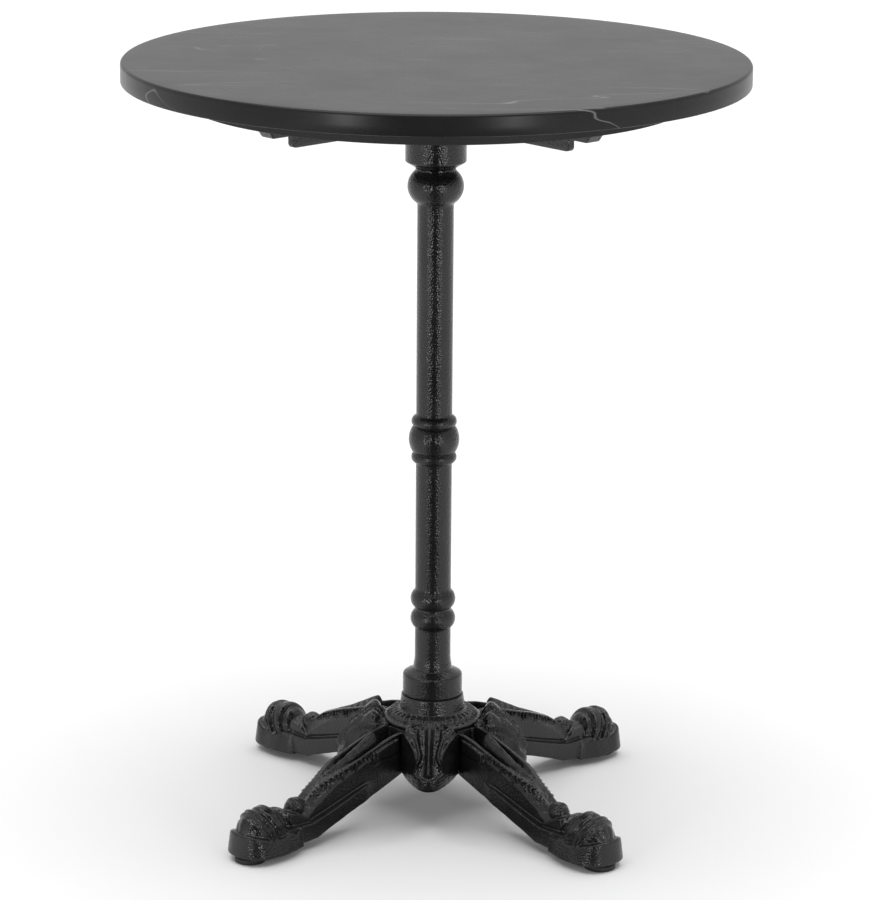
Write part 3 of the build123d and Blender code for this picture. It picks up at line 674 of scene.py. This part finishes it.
def knuckle_relief(points):
    """The curled leaf end has a crease near its front and a fold on top."""
    s, z = points[..., 0], points[..., 2]
    return -1.5 * hump(s, 186.2, 1.2) - 0.6 * hump(s - 0.4 * (z - 42), 176.5, 1.2)


def prism(outline, half):
    """A flat-sided block with an outline of s and height."""
    outline = np.array(outline, float)
    rings = [np.insert(outline, 1, side, axis=1) for side in (-half, half)]
    return rings_to_mesh("prism", np.array(rings))


def make_leg():
    pieces = [
        leg_body(),
        toe_block(),
        ball(KNOB, KNOB_SIZES, knob_relief),
        ball(KNUCKLE, KNUCKLE_SIZES, knuckle_relief, 60, 80),
        ball(NECK, NECK_SIZES, None, 40, 60),
        prism(NECK_WEDGE, NECK_WEDGE_HALF),
    ]
    mesh = fuse("leg", pieces, LEG_VOXEL)
    points = points_of(mesh)
    points[:, 2] = np.maximum(points[:, 2], SOLE)
    points[:, 0] = np.clip(points[:, 0], LEG_START, TOE_TIP)
    set_points(mesh, points)
    return mesh


leg_mesh = make_leg()
legs = {}
for corner, angle in LEG_ANGLES.items():
    legs[corner] = finish_mesh("iron_leg_" + corner, turned_copy(leg_mesh, angle))

# ---- base hub with its four shields ------------------------------------------------------------

FLUTES, HUB_SEGMENTS, HUB_VOXEL, HUB_KEPT, HUB_TOP = 36, 432, 0.8, 0.53, 117.0


def flutes(radius, height, angle):
    """Rounded teeth round the sloping ring of the hub."""
    tooth = np.abs(np.cos(angle * FLUTES / 2)) ** 0.8
    on_ring = ease(radius, 33.5, 35.5) * (1 - ease(radius, 44.5, 46.5))
    on_ring = on_ring * ease(height, 95.0, 96.5)
    drop = (1 - tooth) * on_ring
    return radius - 1.6 * drop * ease(radius, 38, 44), height - 2.0 * drop


hub_outline = [(6.5, 95), (6.5, 108.5), (21.3, 108.5), (21.3, HUB_TOP), (30.3, HUB_TOP)]
hub_outline += [(30.6, 116.4), (32.3, 103)]
hub_outline += arc((33.0, 101.9), (40.5, 100.4), (45.0, 96.0), 14)
hub_outline += [(45.0, 95.6), (47.6, 94.6), (48.5, 93.6), (48.5, 92.6), (47.6, 92.0), (46.2, 91.4)]
hub_outline += [(46.0, 56.6), (45.2, 56), (38, 56), (38, 95), (6.5, 95)]
hub_mesh = turned("hub", resample(hub_outline, 0.7)[:-1], HUB_SEGMENTS, True, flutes)

# half the shield's width, its nose and how far that sweeps back to the sides, its lower edge and
# how far that rises to the sides, and the height that its hollow reaches above the edge
SHIELD_HALF, SHIELD_SLICES = 28, 122
SHIELD_NOSE, SHIELD_SWEEP = 95.8, 45.0
SHIELD_LOW, SHIELD_RISE = 45.0, 4.5
SHIELD_WALL, HOLLOW_HALF, HOLLOW_HEIGHT = 6.5, 23.0, 29.0
NOSE_EASE = 5.0
# seen from the side the shield falls in a bulging curve
shield_fall = np.array([
    (51, 95), (52.6, 98.6), (54.6, 101.6), (57, 103), (60, 102.2), (63, 99.8), (66, 96.8),
    (69, 94), (75, 89.4), (81, 84), (85.8, 77.6), (89.5, 70), (93.2, 61.5), (95.2, 54),
    (95.6, 49), (94.8, 46.2), (93.4, 45),
], float)
shield_fall = softened(resample(shield_fall, 0.7), 6)


def shield_relief(lat, z):
    """What stands proud of the shield: a forked tongue down its middle, a rolled ear with
    curved folds at each side of it, and a bead down each edge."""
    across = np.abs(lat)
    tongue_half = np.interp(
        z,
        [56, 57.5, 59.5, 62, 66, 70, 74, 78, 82, 87, 92, 102],
        [0, 5, 9, 11.2, 12.2, 11.4, 9.2, 7.6, 7.8, 9.6, 11.4, 12.4],
    )
    tongue = ease(tongue_half - across, -0.8, 1.0) * ease(z, 56.5, 58.5)
    lobe = np.clip(1 - ((across - 0.58 * tongue_half) / 5.0) ** 2, 0, 1)
    split = hump(across, 0, 2.6) * ease(z, 59.5, 63)
    relief = 3.4 * tongue * (0.35 + 0.65 * lobe) - 4.2 * split * tongue
    beside = hump(across, tongue_half + 1.6, 1.5) * ease(z, 58, 62) * (1 - ease(z, 94, 98))
    relief = relief - 1.9 * beside
    from_ear = np.hypot(across - 28.0, z - 76.0)
    ear = (1 - ease(from_ear, 21.0, 23.0)) * ease(z, 70, 78) * ease(across - tongue_half, 1.8, 3.6)
    folds = 0.7 * np.cos(2 * pi * (from_ear - 19.0) / 7.5) * ease(from_ear, 5.0, 9.0)
    relief = relief + ear * (1.6 + folds)
    bead = hump(across, 26.8, 1.3) * (1 - ease(z, 80, 88))
    return relief + 0.8 * bead


def shield():
    """One shield over the +X side of the hub, sliced across from one leg to the other."""
    fall_r, fall_z = shield_fall.T
    step = np.gradient(shield_fall, axis=0)
    out = np.stack([step[:, 1], -step[:, 0]], -1)
    out /= np.hypot(out[:, 0], out[:, 1])[:, None]
    rings = []
    for lat in np.linspace(-SHIELD_HALF, SHIELD_HALF, SHIELD_SLICES):
        share = min(abs(lat) / SHIELD_HALF, 1.0)
        nose = SHIELD_NOSE - SHIELD_SWEEP * share ** 1.9
        gap = fall_r - nose
        eased = fall_r - (gap + NOSE_EASE) ** 2 / (4 * NOSE_EASE)
        r = np.where(gap > -NOSE_EASE, eased, fall_r)
        r = np.where(gap > NOSE_EASE, nose, r)
        shoulder = 8.0 * ease(abs(lat), 17, SHIELD_HALF) ** 1.5
        z = fall_z - shoulder * ease(fall_z, 76, 98)
        low = SHIELD_LOW + SHIELD_RISE * share ** 1.3
        z = low + (z - SHIELD_LOW) * (z.max() - low) / (z.max() - SHIELD_LOW)
        rise = shield_relief(lat, z)
        r = r + out[:, 0] * rise
        z = z + out[:, 1] * rise
        sheet = np.stack([r, z], -1)
        hollow = max(0.0, 1 - (abs(lat) / HOLLOW_HALF) ** 2) ** 0.5
        inner_nose = max(nose - SHIELD_WALL, 49.5)
        roof = low + HOLLOW_HEIGHT * hollow
        way = [
            sheet[-1],
            (inner_nose, low),
            (max(inner_nose - 7 * hollow, 49.3), roof),
            (49.0, roof),
            (48.0, low + 4),
            (43.0, 57.0),
            (43.0, 91.0),
            sheet[0],
        ]
        back = []
        for a, b in zip(way[:-1], way[1:]):
            a, b = np.array(a), np.array(b)
            back.append(a + (b - a) * np.linspace(0, 1, 12, endpoint=False)[:, None])
        ring = np.vstack([sheet[:-1]] + back)
        rings.append(np.column_stack([ring[:, 0], np.full(len(ring), lat), ring[:, 1]]))
    return rings_to_mesh("shield", np.array(rings))


one_shield = shield()
hub_parts = [hub_mesh] + [turned_copy(one_shield, 90 * quarter) for quarter in range(4)]
base_mesh = fuse("base_hub", hub_parts, HUB_VOXEL, HUB_KEPT)

# the room of each leg beside the hub: half its width, its top and bottom, and the drum's flat
ROOM_HALF, ROOM_TOP, ROOM_BOTTOM = 14.8, 91.9, 50
FLAT = 45.7


def clear_of_legs(mesh):
    """Presses the hub back from the four legs, to a fine joint."""
    points = points_of(mesh)
    for angle in LEG_ANGLES.values():
        way = np.array([cos(radians(angle)), sin(radians(angle))])
        side = np.array([-way[1], way[0]])
        s, lat = points[:, :2] @ way, points[:, :2] @ side
        in_room = (s > 44) & (np.abs(lat) < ROOM_HALF)
        in_room &= (points[:, 2] < ROOM_TOP) & (points[:, 2] > ROOM_BOTTOM)
        past_drum = in_room & (s > 49)
        on_drum = in_room & (s > FLAT) & ~past_drum
        push = np.where(on_drum, s - FLAT, 0)
        points[:, :2] -= push[:, None] * way
        out = np.where(past_drum, ROOM_HALF * np.sign(lat) - lat, 0)
        points[:, :2] += out[:, None] * side
    points[:, 2] = np.minimum(points[:, 2], HUB_TOP)
    set_points(mesh, points)


clear_of_legs(base_mesh)
base_hub = finish_mesh("iron_base_hub", base_mesh)

# ---- levelling pads ----------------------------------------------------------------------------

PAD_RADIUS, PAD_HEIGHT, PAD_HOLE = 15.0, 5.4, 0.4
pad_outline = [(PAD_HOLE, 0.0)] + arc((13.8, 0.0), (14.6, 0.35), (PAD_RADIUS, 1.2), 6)
pad_outline += arc((PAD_RADIUS, 4.2), (14.65, 5.05), (13.8, PAD_HEIGHT), 6)
pad_outline += [(13.8, PAD_HEIGHT), (8.4, PAD_HEIGHT), (8.0, 5.2), (PAD_HOLE, 5.2)]
pad_mesh = turned("pad", resample(pad_outline, 2.0), 96)
pads = {}
for corner, angle in LEG_ANGLES.items():
    mesh = pad_mesh.copy()
    low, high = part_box("glide_pad_" + corner)
    mesh.transform(Matrix.Translation(((low[0] + high[0]) / 2, (low[1] + high[1]) / 2, low[2])))
    pads[corner] = finish_mesh("plastic_pad_" + corner, mesh, 40)

# ---- materials, bodies and slots ---------------------------------------------------------------

stone, iron, paint = marble(), black_iron(), black_board()
steel, plastic = zinc_steel(), pad_plastic()


def dress(piece, material, slot, body, *nodes):
    piece.data.materials.clear()
    piece.data.materials.append(material)
    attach(piece, body)
    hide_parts(*nodes)


dress(table_top, stone, "marble", "table", "table_top")
dress(board, paint, "board", "table", "backing_board")
dress(column, iron, "black_iron", "table", "column")
dress(bracket, iron, "black_iron", "table", "top_bracket")
dress(base_hub, iron, "black_iron", "table", "base_hub")
for corner in LEG_ANGLES:
    dress(legs[corner], iron, "black_iron", "table", "leg_" + corner)
    dress(pads[corner], plastic, "pad_plastic", "pad_" + corner, "glide_pad_" + corner)

kept_steel = ["bracket_screws", "tie_rod", "rod_top_nut", "rod_top_washer", "leg_bolts"]
kept_steel += ["leg_bolt_washers", "rod_base_washer", "rod_base_lock_washer", "rod_base_nut"]
kept_steel += ["glide_stud_" + corner for corner in LEG_ANGLES]
for node in kept_steel:
    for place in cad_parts[node].material_slots:
        place.material = steel

# ---- floor, light and camera -------------------------------------------------------------------


FRONT_EDGE, SIDE_EDGE = radians(16), radians(44)


def beside_camera(place):
    """0 straight in front of the table, 1 to its sides and behind it."""
    x = place.node("ShaderNodeSeparateXYZ", None, {0: place}, 0)
    y = place.node("ShaderNodeSeparateXYZ", None, {0: place}, 1)
    bearing = x.maths("ARCTAN2", x, y * -1.0)
    return bearing.maths("ABSOLUTE", bearing).between(FRONT_EDGE, SIDE_EDGE)


floor_mesh = bpy.data.meshes.new("floor")
floor_mesh.from_pydata([(-14, -9, 0), (14, -9, 0), (14, 22, 0), (-14, 22, 0)], [], [(0, 1, 2, 3)])
floor = bpy.data.objects.new("floor", floor_mesh)
bpy.context.scene.collection.objects.link(floor)
floor_paint, floor_shader, floor_place = start_material("pale_floor")
speckle = noise(floor_place, 3.0, 2.0)
pale = mix(speckle, grey(0.90), grey(0.92))
# To everything but the camera the floor's colour is painted shade: dark in front of the table and
# pale beside and behind it, so the table mirrors a dim front. The camera sees the floor evenly pale.
painted_front_shade = mix(beside_camera(floor_place), grey(0.10), grey(0.80))
join(floor_shader, "Base Color", mix(floor_place.node("ShaderNodeLightPath"), painted_front_shade, pale))
floor_shader.inputs["Roughness"].default_value = 0.9
floor_shader.inputs["Specular IOR Level"].default_value = 0.0
floor_mesh.materials.append(floor_paint)

# What the table mirrors is bright beside and behind it and dim in front of it. The backdrop
# that the camera sees is plain white.
world = bpy.data.worlds.new("studio")
bpy.context.scene.world = world
world.use_nodes = True
sky = world.node_tree.nodes["Background"]
way = Link(world.node_tree).node("ShaderNodeTexCoord", out=0)
upward = way.node("ShaderNodeSeparateXYZ", None, {0: way}, 2)
wall = mix(beside_camera(way), grey(0.03), grey(0.72))
wall = mix(upward.between(0.45, 0.8), wall, grey(0.35))
backdrop = mix(way.node("ShaderNodeLightPath"), wall, grey(1.0))
world.node_tree.links.new(backdrop.socket, sky.inputs["Color"])
sky.inputs["Strength"].default_value = 1.0


def soft_light(name, place, aim, size, power):
    """A rectangular soft light that faces a point."""
    data = bpy.data.lights.new(name, "AREA")
    data.shape = "RECTANGLE"
    data.size, data.size_y = size
    data.energy = power
    light = bpy.data.objects.new(name, data)
    light.location = place
    light.rotation_euler = (Vector(aim) - Vector(place)).to_track_quat("-Z", "Y").to_euler()
    bpy.context.scene.collection.objects.link(light)


LIGHT_SIDE, LIGHT_FRONT, LIGHT_HEIGHT, LIGHT_WATTS = 1.4, -2.6, 0.62, 12
for name, place in (("front_left", -LIGHT_SIDE), ("front_right", LIGHT_SIDE)):
    soft_light(name, (place, LIGHT_FRONT, LIGHT_HEIGHT), (0, 0, 0.2), (0.36, 1.1), LIGHT_WATTS)
CEILING_STRENGTH, CEILING_SPREAD = 2.45, radians(70)
sun = bpy.data.lights.new("ceiling", "SUN")
sun.energy = CEILING_STRENGTH
sun.angle = CEILING_SPREAD
ceiling = bpy.data.objects.new("ceiling", sun)
bpy.context.scene.collection.objects.link(ceiling)

CAMERA_TURN, CAMERA_PITCH, CAMERA_ROLL = radians(2.10), radians(14.99), radians(0.387)
CAMERA_DISTANCE, CAMERA_HEIGHT = 3.7176, 1.361
CAMERA_LENS, CAMERA_SHIFT = 157.88, 0.0067
lens = bpy.data.cameras.new("camera")
lens.lens = CAMERA_LENS
lens.sensor_width = 36.0
lens.shift_x = CAMERA_SHIFT
lens.clip_end = 60.0
camera = bpy.data.objects.new("camera", lens)
camera.location = (
    CAMERA_DISTANCE * sin(CAMERA_TURN),
    -CAMERA_DISTANCE * cos(CAMERA_TURN),
    CAMERA_HEIGHT,
)
aim = Matrix.Rotation(CAMERA_TURN, 3, "Z") @ Matrix.Rotation(pi / 2 - CAMERA_PITCH, 3, "X")
camera.rotation_euler = (aim @ Matrix.Rotation(CAMERA_ROLL, 3, "Z")).to_euler()
bpy.context.scene.collection.objects.link(camera)
bpy.context.scene.camera = camera
bpy.context.scene.view_settings.view_transform = "Standard"
